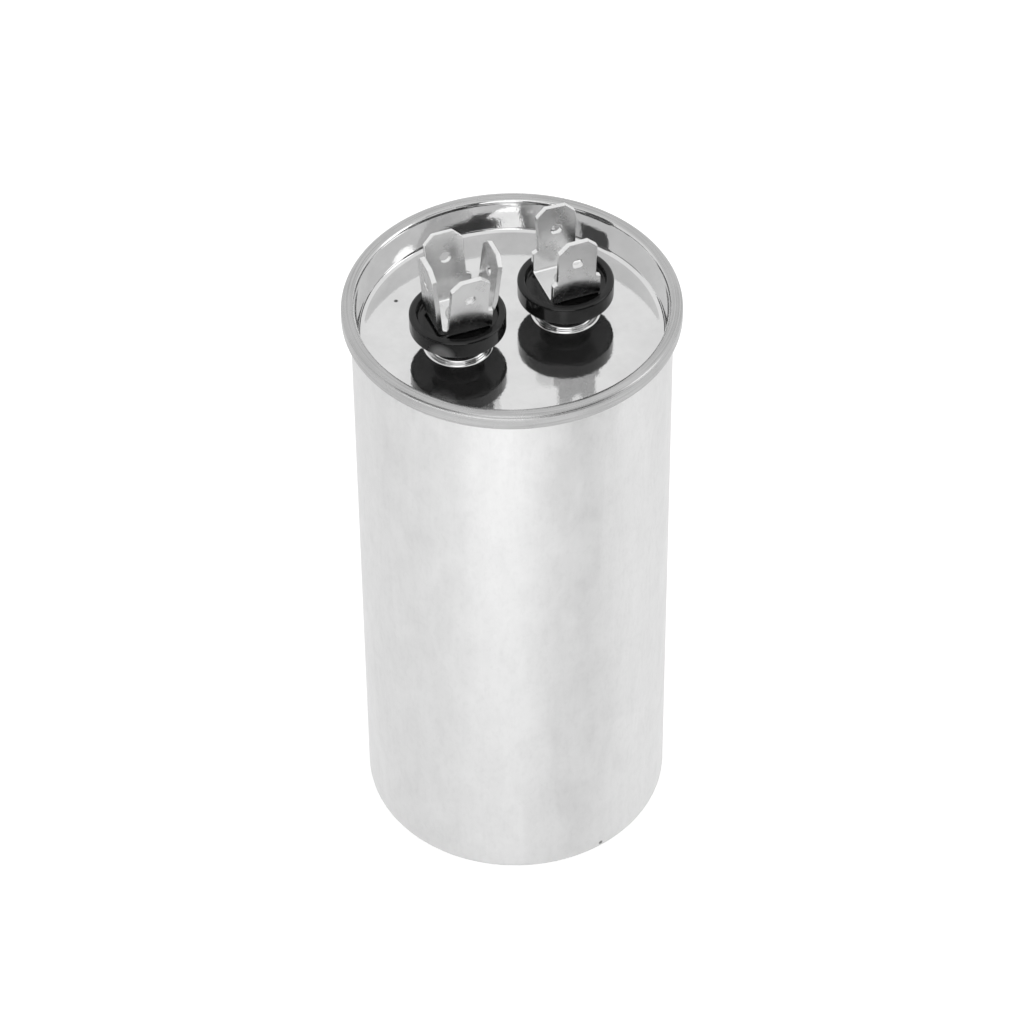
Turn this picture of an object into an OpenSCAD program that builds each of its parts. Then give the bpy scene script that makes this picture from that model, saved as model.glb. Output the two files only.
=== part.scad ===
// Motor run capacitor: a drawn aluminium can closed by a double-seamed lid, with two riveted
// terminals that carry quick-connect blades. Millimetres, +Z up, origin at the middle of the base.
// The line through the two terminals is the X axis.

/* [Can] */
// Outer diameter of the can's body
can_d = 50; // [44:0.5:70]
// Height from the base to the top of the seam
can_h = 104.3; // [80:0.1:150]
// Thickness of the can's side wall
can_wall = 0.4; // [0.3:0.05:0.6]
// Thickness of the can's floor
can_floor = 0.6; // [0.4:0.1:1.5]
// Outer radius of the can's bottom corner
base_round = 1.8; // [1.2:0.1:3]

/* [Seam] */
// Height of the rolled seam
seam_h = 3; // [2.6:0.1:4]
// Layer of sealing compound on each side of the can's hook
seal_gap = 0.15; // [0.1:0.01:0.2]

/* [Lid] */
// Thickness of the lid's sheet
lid_t = 0.35; // [0.25:0.05:0.45]
// Depth of the lid's panel below the top of the seam
lid_depth = 6.1; // [5:0.1:8]
// How much the lid's wall narrows from the seam to the panel
wall_taper = 0.2; // [0.05:0.05:0.4]
// Radius of the corner between the lid's wall and its panel
lid_corner = 0.8; // [0.5:0.1:1.2]
// Height of the pressed boss under each terminal
boss_h = 1.2; // [0.8:0.1:1.6]
// Radius of the flat top of the boss
boss_top_r = 4.1; // [3.8:0.1:5]
// Width of the boss's curved flank, seen from above
boss_flank = 1.3; // [1.2:0.1:2]

/* [Terminals] */
// Distance between the two terminals
terminal_pitch = 18.3; // [17.5:0.1:24]
// Turn of both stampings about their rivets, seen from above
tab_turn = -3; // [-10:1:10]
// Width of a quick-connect blade
blade_w = 6.3; // [4.8:0.1:6.4]
// Thickness of the blades' sheet
blade_t = 0.8; // [0.5:0.1:0.9]
// Length of a blade above its base plate
blade_l = 11.6; // [9:0.1:16]
// Size of the chamfers at a blade's tip
tip_chamfer = 1.5; // [0.8:0.1:2]
// Diameter of the detent hole in a blade
detent_d = 1.8; // [1.2:0.1:2.2]
// Distance from a blade's tip to the middle of its hole
detent_from_tip = 4.3; // [3.2:0.1:5]
// Distance between the outer faces of two opposite blades at their base
blade_spread = 8.8; // [8.6:0.1:10]
// Inner radius of the bend at a blade's foot
bend_r = 0.4; // [0.2:0.05:0.6]
// Width of the shoulder on each side of a blade's foot
shoulder_w = 0.8; // [0.3:0.1:0.9]
// Height of the shoulders above the base plate
shoulder_h = 3.5; // [2:0.1:4]
// Outward lean of the right terminal's back blade
twin_back_flare = 1.5; // [0:0.5:15]
// Outward lean of the right terminal's front blade
twin_front_flare = 4.5; // [0:0.5:15]
// Outward lean of the left terminal's back and front blades
quad_flare = 10.5; // [0:0.5:15]
// Outward lean of the left terminal's blade that faces the middle
quad_inner_flare = 15; // [0:0.5:15]
// Outward lean of the left terminal's blade that faces the rim
quad_outer_flare = 4.5; // [0:0.5:15]
// Diameter of the rivets' shank
rivet_d = 3; // [2.4:0.1:3.4]
// Radius of the rivets' upper head
rivet_head_r = 1.9; // [1.8:0.1:2.6]
// Thickness of the rivets' upper head
rivet_head_h = 0.4; // [0.3:0.1:1]
// Radius of the rivets' clinched lower head
clinch_r = 2.6; // [2.2:0.1:3]
// Thickness of the rivets' clinched lower head
clinch_h = 0.7; // [0.4:0.1:1]

/* [Insulators] */
// Diameter of the insulating cup under each stamping
cup_d = 15; // [14.6:0.1:17]
// Height of the insulating cup
cup_h = 3.15; // [2.6:0.05:4]
// Depth of the recess that holds the stamping
cup_recess = 1.25; // [0.8:0.05:1.6]
// Width of the lip round the recess
cup_lip = 1.2; // [0.8:0.1:1.4]
// Rounding of the cup's outer edges
cup_round = 0.45; // [0.2:0.05:0.6]
// Height of the neck between the boss and the cup
neck_h = 2.9; // [2:0.1:4]
// Diameter of the neck
neck_d = 7.8; // [6.6:0.1:8]
// Diameter of the spigot that passes through the lid
spigot_d = 5.2; // [4.4:0.1:6]
// Radius of the inner insulator's flange
inner_flange_r = 6.8; // [6:0.1:7.6]
// Thickness of the inner insulator's flange
inner_flange_h = 1.2; // [0.8:0.1:2]
// Radius of a connecting lug's ring
lug_r = 3.2; // [2.8:0.1:4]
// Thickness of a connecting lug
lug_t = 0.5; // [0.3:0.1:0.8]
// Width of a connecting lug's tongue
lug_w = 3; // [2:0.1:4]

/* [Winding] */
// Outer diameter of the winding's core tube
core_d = 9; // [8:0.5:14]
// Wall of the core tube
core_wall = 1; // [0.6:0.1:1.5]
// Thickness of the sprayed metal on each end of the winding
spray_t = 0.8; // [0.4:0.1:1.2]
// Thickness of the insulating sleeve round the winding
sleeve_t = 0.6; // [0.3:0.1:1]
// Wall of the plastic cup under the winding
seat_wall = 1; // [0.8:0.1:1.6]
// Floor of the plastic cup under the winding
seat_floor = 1.5; // [1:0.1:2.5]
// Height of the plastic cup's rim above its floor
seat_rim = 9; // [6:0.5:15]
// Height of the ring that carries the winding clear of the cup's floor
standoff_h = 3; // [2.4:0.1:5]
// Width of that ring
standoff_w = 8; // [5:0.5:10]
// Distance from the lid down to the top of the winding
head_room = 11; // [9.5:0.5:16]
// Thickness of the upper spacer's disc
spacer_t = 1.5; // [1:0.1:2.5]
// Width of the upper spacer's rim
spacer_rim = 1.5; // [1:0.1:2]
// Diameter of the connecting wires
wire_d = 1.2; // [0.8:0.1:1.4]
// Radius of the bend in the wire that reaches the lower end
wire_bend = 1.6; // [1.2:0.1:2]

/* [Hidden] */
$fn = 96;

// Clearances between pieces that slip into each other
slip = 0.1;
bore_slip = 0.05;
// How far a straight stretch of sheet reaches into the bend that it joins
lap = 0.05;

// Radii through the seam, from the middle outwards
can_r = can_d / 2;
can_in_r = can_r - can_wall;
lid_wall_r = can_in_r - lid_t;
cover_hook_r = can_r + seal_gap;
body_hook_r = cover_hook_r + lid_t;
curl_in_r = body_hook_r + can_wall + seal_gap;
seam_r = curl_in_r + lid_t;

// Crest of the lid, over the seam
crest_mid_r = (lid_wall_r + seam_r) / 2;
crest_out = (seam_r - lid_wall_r) / 2;
crest_z = can_h - crest_out;
// Turned-in foot of the seam
seam_foot_z = can_h - seam_h;
curl_mid_r = (cover_hook_r + seam_r) / 2;
curl_out = (seam_r - cover_hook_r) / 2;
curl_z = seam_foot_z + curl_out;
// Turned-over edge of the can
hook_mid_r = (can_in_r + body_hook_r + can_wall) / 2;
hook_out = (body_hook_r + can_wall - can_in_r) / 2;
hook_z = crest_z - (crest_out - hook_out) / 3;
hook_end_gap = 0.1;
body_hook_end = curl_z + hook_end_gap;
cover_hook_end = hook_z - seal_gap;
// How deep the seaming rolls press the can's wall, from just under the seam
seam_press = 0.02;
press_z = seam_foot_z - slip;

// Heights of the lid and of what stands on it
lid_z = can_h - lid_depth;
lid_under_z = lid_z - lid_t;
lid_foot_r = lid_wall_r - wall_taper;
boss_z = lid_z + boss_h;
boss_angle = 2 * atan(boss_h / boss_flank);
boss_bend = boss_h / 2 / (1 - cos(boss_angle));
boss_foot_r = boss_top_r + boss_flank;
cup_z = boss_z + neck_h;
cup_top_z = cup_z + cup_h;
plate_z = cup_top_z - cup_recess;
plate_top_z = plate_z + blade_t;
recess_r = cup_d / 2 - cup_lip;
cup_core_round = 0.3;

// Widths of the stampings
foot_w = blade_w + 2 * shoulder_w;
shoulder_slope = 0.5;
// Facets of the bend at a blade's foot
bend_steps = 8;

// Heights of the pieces under the lid
inner_z = lid_under_z - inner_flange_h;
lug_z = inner_z - lug_t;
spigot_r = spigot_d / 2;
rivet_r = rivet_d / 2;
wire_r = wire_d / 2;

// The stack inside the can, from the floor up
seat_r = can_in_r - slip;
seat_in_r = seat_r - seat_wall;
seat_top_z = can_floor + seat_floor;
seat_corner = base_round;
roll_z0 = seat_top_z + standoff_h;
roll_z1 = lid_under_z - head_room;
film_z0 = roll_z0 + spray_t;
film_z1 = roll_z1 - spray_t;
sleeve_r = seat_in_r - slip;
roll_r = sleeve_r - sleeve_t;
core_r = core_d / 2;
core_in_r = core_r - core_wall;
spacer_r = lid_foot_r - lid_corner - slip;
wire_hole_r = wire_r + 1;
// The right wire stands this far in from the spacer's rim
wire_margin = 3.35;
right_wire_x = spacer_r - spacer_rim - wire_margin;
lower_wire_z = roll_z0 - wire_r - bore_slip;
lower_wire_reach = (core_r + roll_r - standoff_w) / 2;

// A ring sector in the plane, from angle a0 to angle a1
module arc_band(r_in, r_out, a0, a1) {
    steps = 4;
    reach = 2 * r_out;
    intersection() {
        difference() {
            circle(r_out);
            if (r_in > 0) circle(r_in);
        }
        polygon(concat([[0, 0]], [for (i = [0:steps])
            let (a = a0 + (a1 - a0) * i / steps) reach * [cos(a), sin(a)]]));
    }
}

// A rectangle in the plane between two corners
module block(x0, x1, y0, y1) {
    translate([x0, y0]) square([x1 - x0, y1 - y0]);
}

// Half section of a turned disc with rounded outer edges
module round_disc(r, z0, z1, round_r) {
    block(0, r - round_r, z0, z1);
    block(0, r, z0 + round_r, z1 - round_r);
    for (z = [z0 + round_r, z1 - round_r]) translate([r - round_r, z]) circle(round_r);
}

// A ring or tube about the Z axis
module tube(r_out, r_in, z0, z1) {
    rotate_extrude() block(r_in, r_out, z0, z1);
}

module at_left() { translate([-terminal_pitch / 2, 0, 0]) children(); }
module at_right() { translate([terminal_pitch / 2, 0, 0]) children(); }

// Half section of the can: floor, wall and the hook that the seam holds
module can_section() {
    inner_round = base_round - can_wall;
    difference() {
        union() {
            block(0, can_r - base_round, 0, hook_z);
            block(0, can_r, base_round, press_z);
            polygon([[0, press_z - lap], [can_r - seam_press, press_z - lap],
                     [can_r - seam_press, press_z], [can_r, hook_z], [can_r, hook_z + lap],
                     [0, hook_z + lap]]);
            translate([can_r - base_round, base_round]) circle(base_round);
        }
        block(0, can_in_r - inner_round, can_floor, hook_z + can_wall);
        block(0, can_in_r, can_floor + inner_round, hook_z + can_wall);
        translate([can_in_r - inner_round, can_floor + inner_round]) circle(inner_round);
    }
    translate([hook_mid_r, hook_z]) arc_band(hook_out - can_wall, hook_out, 0, 180);
    block(body_hook_r, body_hook_r + can_wall, body_hook_end, hook_z + lap);
}

// Half section of the lid: panel, wall, crest and the hook under the can's edge
module lid_section() {
    foot_z = lid_z + lid_corner;
    foot_mid_r = lid_foot_r - lid_corner;
    block(0, foot_mid_r + lap, lid_under_z, lid_z);
    translate([foot_mid_r, foot_z]) arc_band(lid_corner, lid_corner + lid_t, -90, 0);
    polygon([[lid_foot_r, foot_z - lap], [lid_foot_r + lid_t, foot_z - lap],
             [can_in_r, seam_foot_z], [can_in_r, crest_z + lap], [lid_wall_r, crest_z + lap],
             [lid_wall_r, seam_foot_z]]);
    translate([crest_mid_r, crest_z]) arc_band(crest_out - lid_t, crest_out, 0, 180);
    block(curl_in_r, seam_r, curl_z - lap, crest_z + lap);
    translate([curl_mid_r, curl_z]) arc_band(curl_out - lid_t, curl_out, 180, 360);
    block(cover_hook_r, body_hook_r, curl_z - lap, cover_hook_end);
}

// Half section of the boss that is pressed up round a terminal's hole
module boss_section() {
    crown_z = boss_z - boss_bend;
    sole_z = lid_z + boss_bend;
    block(spigot_r + bore_slip, boss_top_r + lap, boss_z - lid_t, boss_z);
    translate([boss_top_r, crown_z]) arc_band(boss_bend - lid_t, boss_bend, 90 - boss_angle, 90);
    translate([boss_foot_r, sole_z])
        arc_band(boss_bend, boss_bend + lid_t, 270 - boss_angle, 270);
}

// Distance from a stamping's middle to the start of a blade's bend
function bend_start(flare) =
    let (a = 90 - flare, out = bend_r + blade_t, rise = (out * cos(a) - bend_r) / sin(a))
    blade_spread / 2 - out * sin(a) - rise * cos(a);

// Length of a blade's flat part, from the end of its bend to its tip
function flat_length(flare) =
    let (a = 90 - flare) blade_l + ((bend_r + blade_t) * cos(a) - bend_r) / sin(a);

// Side view of a folded strip, from the end of the base plate round the bend to the blade's tip
function strip_side(flare) =
    let (a = 90 - flare, mid = [bend_start(flare), plate_top_z + bend_r],
         rise = flat_length(flare) * [cos(a), sin(a)],
         arc = [for (i = [0:bend_steps]) let (t = a * i / bend_steps - 90) [cos(t), sin(t)]],
         outer = [for (p = arc) mid + (bend_r + blade_t) * p],
         inner = [for (i = [bend_steps:-1:0]) mid + bend_r * arc[i]])
    concat([[mid[0] - lap, plate_z]], outer, [outer[bend_steps] + rise, inner[0] + rise], inner,
           [[mid[0] - lap, plate_top_z]]);

// What is punched away from a blade's flat part: corners of the tip, sides above the shoulders
// and the detent hole
module blade_cuts(len, foot) {
    w = blade_w / 2;
    margin = 1;
    edge = foot / 2 + margin;
    for (side = [-1, 1]) {
        polygon([[side * (w - tip_chamfer - margin), len + margin], [side * (w + margin), len + margin],
                 [side * (w + margin), len - tip_chamfer - margin]]);
        if (foot > blade_w)
            polygon([[side * w, shoulder_h], [side * w, len + margin], [side * edge, len + margin],
                     [side * edge, shoulder_h - shoulder_slope * (edge - w)]]);
    }
    translate([0, len - detent_from_tip]) circle(d = detent_d, $fn = 48);
}

// One blade with its bend, rising on the +Y side of a stamping
module folded_blade(flare, foot) {
    a = 90 - flare;
    margin = 1;
    difference() {
        rotate([90, 0, 90]) linear_extrude(foot, center = true) polygon(strip_side(flare));
        translate([0, bend_start(flare), plate_top_z + bend_r]) rotate([a - 90, 0, 0])
            translate([0, bend_r + blade_t + margin, 0]) rotate([90, 0, 0])
                linear_extrude(blade_t + 2 * margin) blade_cuts(flat_length(flare), foot);
    }
}

// Flat base plate of a stamping between the starts of its bends
module base_plate(x0, x1, y0, y1) {
    translate([x0, y0, plate_z]) cube([x1 - x0, y1 - y0, blade_t]);
}

module rivet_hole() {
    translate([0, 0, plate_z - 1]) cylinder(r = rivet_r + bore_slip, h = blade_t + 2);
}

// Insulating cup with its neck and the spigot that passes through the lid
module terminal_cup() {
    rotate_extrude() difference() {
        union() {
            round_disc(cup_d / 2, cup_z, cup_top_z, cup_round);
            block(0, neck_d / 2, boss_z, cup_z + cup_round);
            block(0, spigot_r, boss_z - lid_t, boss_z + cup_round);
        }
        block(0, recess_r - cup_core_round, plate_z, cup_top_z + 1);
        block(0, recess_r, plate_z + cup_core_round, cup_top_z + 1);
        translate([recess_r - cup_core_round, plate_z + cup_core_round]) circle(cup_core_round);
        block(0, rivet_r + bore_slip, boss_z - lid_t - 1, cup_top_z);
    }
}

// Insulator inside the lid: a plug in the boss and a flange under the panel
module inner_insulator() {
    rotate_extrude() {
        block(rivet_r + bore_slip, boss_top_r - slip, lid_under_z, boss_z - lid_t);
        block(rivet_r + bore_slip, inner_flange_r, inner_z, lid_under_z);
    }
}

// Rivet from the stamping down to the connecting lug
module rivet() {
    dome = rivet_head_h / 2;
    rotate_extrude() {
        block(0, rivet_r, lug_z - clinch_h, plate_top_z + dome);
        block(0, clinch_r, lug_z - clinch_h, lug_z);
        polygon([[0, plate_top_z], [rivet_head_r, plate_top_z],
                 [rivet_head_r, plate_top_z + dome], [rivet_head_r - dome, plate_top_z + rivet_head_h],
                 [0, plate_top_z + rivet_head_h]]);
    }
}

// Connecting lug: a ring on the rivet and a tongue that takes the wire
module lug(reach) {
    translate([0, 0, lug_z]) linear_extrude(lug_t) difference() {
        union() {
            circle(lug_r);
            block(0, reach, -lug_w / 2, lug_w / 2);
            translate([reach, 0]) circle(lug_w / 2);
        }
        circle(rivet_r + bore_slip);
        translate([reach, 0]) circle(wire_r + bore_slip, $fn = 48);
    }
}

module can() { color("silver") rotate_extrude() can_section(); }

module lid() {
    color("gainsboro") {
        difference() {
            rotate_extrude() lid_section();
            for (side = [-1, 1]) translate([side * terminal_pitch / 2, 0, lid_under_z - 1])
                cylinder(r = boss_foot_r, h = lid_t + 2);
        }
        at_left() rotate_extrude() boss_section();
        at_right() rotate_extrude() boss_section();
    }
}

// Ring of sealing compound between the can's hook and the lid's curl
module seam_seal() {
    fill_r = body_hook_r + can_wall / 2;
    color("dimgray") rotate_extrude() difference() {
        block(fill_r, curl_in_r, curl_z - curl_out + lid_t, can_h - lid_t);
        lid_section();
        can_section();
        block(curl_in_r - curl_out, seam_r, can_h - crest_out / 2, can_h + 1);
    }
}

module left_terminal_cup() { color([0.06, 0.06, 0.06]) at_left() terminal_cup(); }
module right_terminal_cup() { color([0.06, 0.06, 0.06]) at_right() terminal_cup(); }
module left_inner_insulator() { color("ivory") at_left() inner_insulator(); }
module right_inner_insulator() { color("ivory") at_right() inner_insulator(); }

// Left terminal's stamping: four blades folded up from one cross-shaped blank
module left_quad_tab() {
    inner_x = bend_start(quad_inner_flare);
    outer_x = bend_start(quad_outer_flare);
    face_y = bend_start(quad_flare);
    color("lightgray") at_left() rotate([0, 0, tab_turn]) difference() {
        union() {
            base_plate(-outer_x, inner_x, -blade_w / 2, blade_w / 2);
            base_plate(-blade_w / 2, blade_w / 2, -face_y, face_y);
            folded_blade(quad_flare, foot_w);
            rotate([0, 0, 90]) folded_blade(quad_outer_flare, blade_w);
            rotate([0, 0, 180]) folded_blade(quad_flare, foot_w);
            rotate([0, 0, 270]) folded_blade(quad_inner_flare, blade_w);
        }
        rivet_hole();
    }
}

// Right terminal's stamping: two blades folded up from one strip
module right_twin_tab() {
    color("lightgray") at_right() rotate([0, 0, tab_turn]) difference() {
        union() {
            base_plate(-foot_w / 2, foot_w / 2, -bend_start(twin_front_flare),
                       bend_start(twin_back_flare));
            folded_blade(twin_back_flare, foot_w);
            rotate([0, 0, 180]) folded_blade(twin_front_flare, foot_w);
        }
        rivet_hole();
    }
}

module left_rivet() { color("silver") at_left() rivet(); }
module right_rivet() { color("silver") at_right() rivet(); }
module left_lug() { color("goldenrod") at_left() lug(terminal_pitch / 2); }
module right_lug() { color("goldenrod") at_right() lug(right_wire_x - terminal_pitch / 2); }

// Wire from the left lug down through the core to the winding's lower end
module left_wire() {
    bend_z = lower_wire_z + wire_bend;
    color("peru") {
        translate([0, 0, bend_z]) cylinder(r = wire_r, h = lug_z + lug_t - bend_z);
        translate([-wire_bend, 0, bend_z]) rotate([90, 0, 0])
            rotate_extrude(angle = -90) translate([wire_bend, 0]) circle(wire_r, $fn = 48);
        translate([-lower_wire_reach, 0, lower_wire_z]) rotate([0, 90, 0])
            cylinder(r = wire_r, h = lower_wire_reach - wire_bend);
    }
}

// Wire from the right lug straight down to the winding's upper end
module right_wire() {
    color("peru") translate([right_wire_x, 0, roll_z1])
        cylinder(r = wire_r, h = lug_z + lug_t - roll_z1);
}

// Spacer that holds the winding down from the lid, with ways for the two wires
module upper_spacer() {
    color("whitesmoke") difference() {
        rotate_extrude() {
            block(core_in_r, spacer_r, roll_z1, roll_z1 + spacer_t);
            block(spacer_r - spacer_rim, spacer_r, roll_z1, lid_under_z);
        }
        translate([right_wire_x, 0, roll_z1 - 1])
            cylinder(r = wire_hole_r, h = spacer_t + 2);
    }
}

module upper_end_spray() { color("darkgray") tube(roll_r, core_r, film_z1, roll_z1); }
module film_winding() { color("lightsteelblue") tube(roll_r, core_r, film_z0, film_z1); }
module lower_end_spray() { color("darkgray") tube(roll_r, core_r, roll_z0, film_z0); }
module core_tube() { color("white") tube(core_r, core_in_r, roll_z0, roll_z1); }
module insulating_sleeve() { color("khaki") tube(sleeve_r, roll_r, seat_top_z, roll_z1); }

// Plastic cup on the can's floor, with a ring that carries the winding
module winding_seat() {
    color("ivory") rotate_extrude() {
        polygon([[0, can_floor], [seat_r - seat_corner, can_floor],
                 [seat_r, can_floor + seat_corner], [seat_r, seat_top_z + seat_rim],
                 [seat_in_r, seat_top_z + seat_rim], [seat_in_r, seat_top_z], [0, seat_top_z]]);
        block(roll_r - standoff_w, roll_r - slip, seat_top_z - seat_floor / 2, roll_z0);
    }
}

can();
lid();
seam_seal();
left_terminal_cup();
right_terminal_cup();
left_inner_insulator();
right_inner_insulator();
left_quad_tab();
right_twin_tab();
left_rivet();
right_rivet();
left_lug();
right_lug();
left_wire();
right_wire();
upper_spacer();
upper_end_spray();
film_winding();
lower_end_spray();
core_tube();
insulating_sleeve();
winding_seat();
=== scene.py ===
"""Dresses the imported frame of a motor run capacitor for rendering.

A drawn aluminium can is closed by a double-seamed tinplate lid. Two riveted terminals stand on
pressed bosses of the lid, each with a black moulded cup and a tin-plated stamping that carries
quick-connect blades. Lengths are named in millimetres and turned into metres by MM.
"""
import logging
import math
from dataclasses import dataclass, field
from enum import Enum

import bpy
from mathutils import Matrix, Vector


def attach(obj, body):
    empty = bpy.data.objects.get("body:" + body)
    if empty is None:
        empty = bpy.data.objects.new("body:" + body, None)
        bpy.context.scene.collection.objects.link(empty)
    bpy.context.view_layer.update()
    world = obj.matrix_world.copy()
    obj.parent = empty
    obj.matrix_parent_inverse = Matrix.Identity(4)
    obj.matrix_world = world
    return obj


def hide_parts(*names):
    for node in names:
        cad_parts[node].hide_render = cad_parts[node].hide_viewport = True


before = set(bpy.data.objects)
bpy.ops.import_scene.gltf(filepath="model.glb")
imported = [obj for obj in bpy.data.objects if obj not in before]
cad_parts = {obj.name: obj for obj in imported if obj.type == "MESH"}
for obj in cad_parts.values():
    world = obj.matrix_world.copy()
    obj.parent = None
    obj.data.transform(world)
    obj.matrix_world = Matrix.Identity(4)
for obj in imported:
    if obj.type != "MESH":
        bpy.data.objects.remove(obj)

MM = 0.001
WELD = 0.002 * MM
NEAR = 0.01 * MM
UP = Vector((0, 0, 1))
LOG = logging.getLogger("capacitor")

# Between the terminals; top of the lid's panel; underside and sheet of the base plates.
PITCH = 18.3
PANEL_Z = 98.2
PLATE_Z = 104.2
PLATE_SHEET = 0.8
# Edges flatter than this many degrees shade smoothly.
SMOOTH_BELOW = 40.0

Point = tuple[float, float]
Triple = tuple[float, float, float]
Piece = bpy.types.Object
Socket = bpy.types.NodeSocket
WHITE: Triple = (1.0, 1.0, 1.0)
UNSCALED: Triple = (1.0, 1.0, 1.0)


class Side(Enum):
    """The two terminals, by their side of the lid."""

    LEFT = -1
    RIGHT = 1


def grey(tone: float) -> Triple:
    """Give a grey."""
    return (tone, tone, tone)


def arc(centre: Point, radius: float, start: float, end: float, steps: int) -> list[Point]:
    """Give the points of an arc in a section.

    Args:
        centre: Middle of the arc, in mm.
        radius: Radius in mm.
        start: Angle of the first point, in degrees.
        end: Angle of the last point, in degrees.
        steps: Number of chords.

    Returns:
        The points from start to end, both included.
    """
    angles = [math.radians(start + (end - start) * i / steps) for i in range(steps + 1)]
    return [(centre[0] + radius * math.cos(a), centre[1] + radius * math.sin(a)) for a in angles]


def held(outline: list[Point], hold: float, longer: float = 5.0) -> list[Point]:
    """Add points close to the ends of long straights, so that they shade flat.

    Args:
        outline: Points of a section, in mm.
        hold: Distance of the added points from a straight's ends, in mm.
        longer: How many times the hold a straight has to be long.

    Returns:
        The outline with the added points.
    """
    eased = [outline[0]]
    for (r0, z0), (r1, z1) in zip(outline, outline[1:]):
        length = math.hypot(r1 - r0, z1 - z0)
        if length > longer * hold:
            for t in (hold / length, 1 - hold / length):
                eased.append((r0 + (r1 - r0) * t, z0 + (z1 - z0) * t))
        eased.append((r1, z1))
    return eased


class Bench:
    """The modelling steps that every piece goes through."""

    @staticmethod
    def mode(name: str) -> None:
        """Switch to EDIT or OBJECT mode."""
        bpy.ops.object.mode_set(mode=name)

    @staticmethod
    def only(*pieces: Piece) -> None:
        """Select just these objects and make the first one active.

        Args:
            *pieces: The objects; with none of them everything is deselected.
        """
        bpy.ops.object.select_all(action="DESELECT")
        for piece in pieces:
            piece.select_set(True)
        if pieces:
            bpy.context.view_layer.objects.active = pieces[0]

    @staticmethod
    def named(name: str) -> Piece:
        """Name the object just made and its mesh.

        Args:
            name: The name.

        Returns:
            The object.
        """
        piece = bpy.context.object
        piece.name = piece.data.name = name
        return piece

    @staticmethod
    def started(name: str, place: Triple) -> Piece:
        """Start a piece as one selected vertex, and stay in edit mode.

        Args:
            name: Name of the new object.
            place: Place of the vertex, in metres.

        Returns:
            The new object.
        """
        Bench.only()
        bpy.ops.mesh.primitive_plane_add(size=MM, location=place)
        piece = Bench.named(name)
        Bench.mode("EDIT")
        bpy.ops.mesh.select_mode(type="VERT")
        bpy.ops.mesh.select_all(action="SELECT")
        bpy.ops.mesh.merge(type="CENTER")
        return piece

    @staticmethod
    def extruded(move: Triple | Vector) -> None:
        """Extrude what is selected in edit mode by a move in metres."""
        bpy.ops.mesh.extrude_region_move(TRANSFORM_OT_translate={"value": move})

    @staticmethod
    def spun(steps: int, angle: float, axis_x: float = 0.0) -> None:
        """Spin the whole mesh about an upright line, in edit mode.

        Args:
            steps: Number of facets.
            angle: Angle in radians.
            axis_x: Place of the line along X, in mm.
        """
        bpy.ops.mesh.select_all(action="SELECT")
        bpy.ops.mesh.spin(steps=steps, angle=angle, center=(axis_x * MM, 0.0, 0.0), axis=UP)

    @staticmethod
    def welded(closed: bool = True) -> None:
        """Merge the doubles of the mesh in edit mode, and leave edit mode.

        Args:
            closed: Whether the mesh is closed and gets its normals turned outwards.
        """
        bpy.ops.mesh.select_all(action="SELECT")
        bpy.ops.mesh.remove_doubles(threshold=WELD)
        if closed:
            bpy.ops.mesh.normals_make_consistent(inside=False)
        Bench.mode("OBJECT")

    @staticmethod
    def turned(name: str, outline: list[Point], steps: int, axis_x: float = 0.0,
               closed: bool = True) -> Piece:
        """Draw a half section point by point and spin it about a vertical line.

        Args:
            name: Name of the new object.
            outline: Points (radius, height) of the section, in mm.
            steps: Number of facets round the piece.
            axis_x: Place of the line along X, in mm.
            closed: Whether the spun mesh is closed and gets its normals turned outwards.

        Returns:
            The new object, with its place in its mesh.
        """
        r0, z0 = outline[0]
        piece = Bench.started(name, ((axis_x + r0) * MM, 0.0, z0 * MM))
        for (ra, za), (rb, zb) in zip(outline, outline[1:]):
            Bench.extruded(((rb - ra) * MM, 0.0, (zb - za) * MM))
        Bench.spun(steps, 2 * math.pi, axis_x)
        Bench.welded(closed)
        bpy.ops.object.transform_apply()
        return piece

    @staticmethod
    def smooth(piece: Piece, angle: float = SMOOTH_BELOW) -> None:
        """Shade smoothly across edges flatter than an angle in degrees."""
        Bench.only(piece)
        bpy.ops.object.shade_smooth_by_angle(angle=math.radians(angle))

    @staticmethod
    def modified(piece: Piece, kind: str, **settings: object) -> None:
        """Finish a piece with one applied modifier.

        Args:
            piece: The object.
            kind: The modifier's type.
            **settings: Properties of the modifier.
        """
        Bench.only(piece)
        modifier = piece.modifiers.new(kind.lower(), kind)
        for key, value in settings.items():
            setattr(modifier, key, value)
        bpy.ops.object.modifier_apply(modifier=modifier.name)

    @staticmethod
    def drilled(piece: Piece, centre: Vector, along: Vector, radius: float,
                sides: int, depth: float = 3.0) -> None:
        """Cut a round hole through a piece.

        Args:
            piece: The object.
            centre: Middle of the hole, in mm.
            along: Direction of the hole.
            radius: Radius in mm.
            sides: Facets of the hole.
            depth: Length of the cutter, in mm.
        """
        Bench.only()
        bpy.ops.mesh.primitive_cylinder_add(
            vertices=sides, radius=radius * MM, depth=depth * MM, location=centre * MM,
            rotation=along.to_track_quat("Z", "Y").to_euler())
        cutter = bpy.context.object
        Bench.modified(piece, "BOOLEAN", operation="DIFFERENCE", solver="EXACT", object=cutter)
        bpy.data.objects.remove(cutter, do_unlink=True)

    @staticmethod
    def copy(piece: Piece, name: str, along_x: float) -> Piece:
        """Copy a finished piece, with its own mesh, to another place.

        Args:
            piece: The finished object.
            name: Name of the copy.
            along_x: How far it is moved along X, in mm.

        Returns:
            The copy, with its place in its mesh.
        """
        Bench.only(piece)
        bpy.ops.object.duplicate(linked=False)
        twin = Bench.named(name)
        bpy.ops.transform.translate(value=(along_x * MM, 0.0, 0.0))
        bpy.ops.object.transform_apply()
        return twin


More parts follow.
